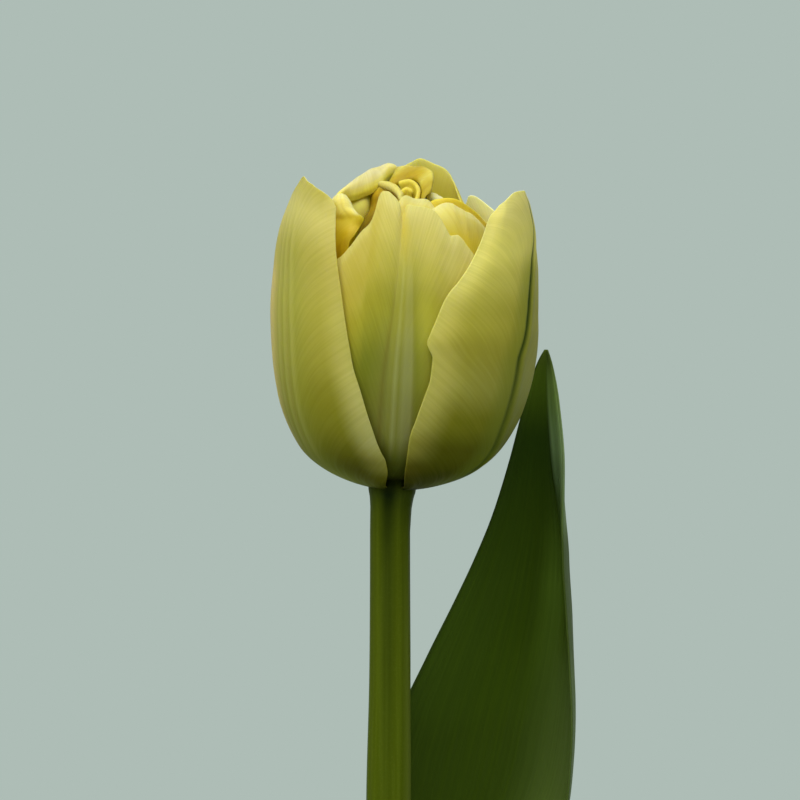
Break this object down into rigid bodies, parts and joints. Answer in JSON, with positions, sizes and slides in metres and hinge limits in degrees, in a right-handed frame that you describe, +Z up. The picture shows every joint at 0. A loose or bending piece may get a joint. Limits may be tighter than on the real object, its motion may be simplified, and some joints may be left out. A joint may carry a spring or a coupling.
{
  "type": "double tulip in a glass bud vase",
  "caption": "Pale yellow-green double tulip with a closed cup of layered petals, a cut stem and one leaf, standing in water in a plain clear glass bud vase.",
  "frame": {"origin": "centre of the vase's flat underside, on the surface it stands on", "axes": "+Z up along the vase's axis; -Y is the front, where the bloom's front inner tepal shows between the two outer tepals; +X is the side of the leaf"},
  "size_m": [0.0802, 0.072, 0.3526],
  "materials": {
    "clear_glass": "gloss",
    "water": "gloss",
    "stem": "satin",
    "leaf": "satin",
    "outer_tepal": "satin",
    "inner_tepal": "satin",
    "yellow_petal": "satin",
    "pistil": "matte"
  },
  "bodies": {
    "root": {"vase": "clear_glass", "water": "water", "stem": "stem", "leaf": "leaf", "outer_tepal_left": "outer_tepal", "outer_tepal_right": "outer_tepal", "outer_tepal_back": "outer_tepal", "inner_tepal_front": "inner_tepal", "inner_tepal_right": "inner_tepal", "inner_tepal_left": "inner_tepal", "third_petal_left": "yellow_petal", "third_petal_right": "yellow_petal", "third_petal_back": "yellow_petal", "fourth_petal_left": "yellow_petal", "fourth_petal_front": "yellow_petal", "fourth_petal_right": "yellow_petal", "fourth_petal_back": "yellow_petal", "core_petal_back": "yellow_petal", "core_petal_front": "yellow_petal", "core_petal_left": "yellow_petal", "pistil": "pistil"}
  },
  "joints": []
}
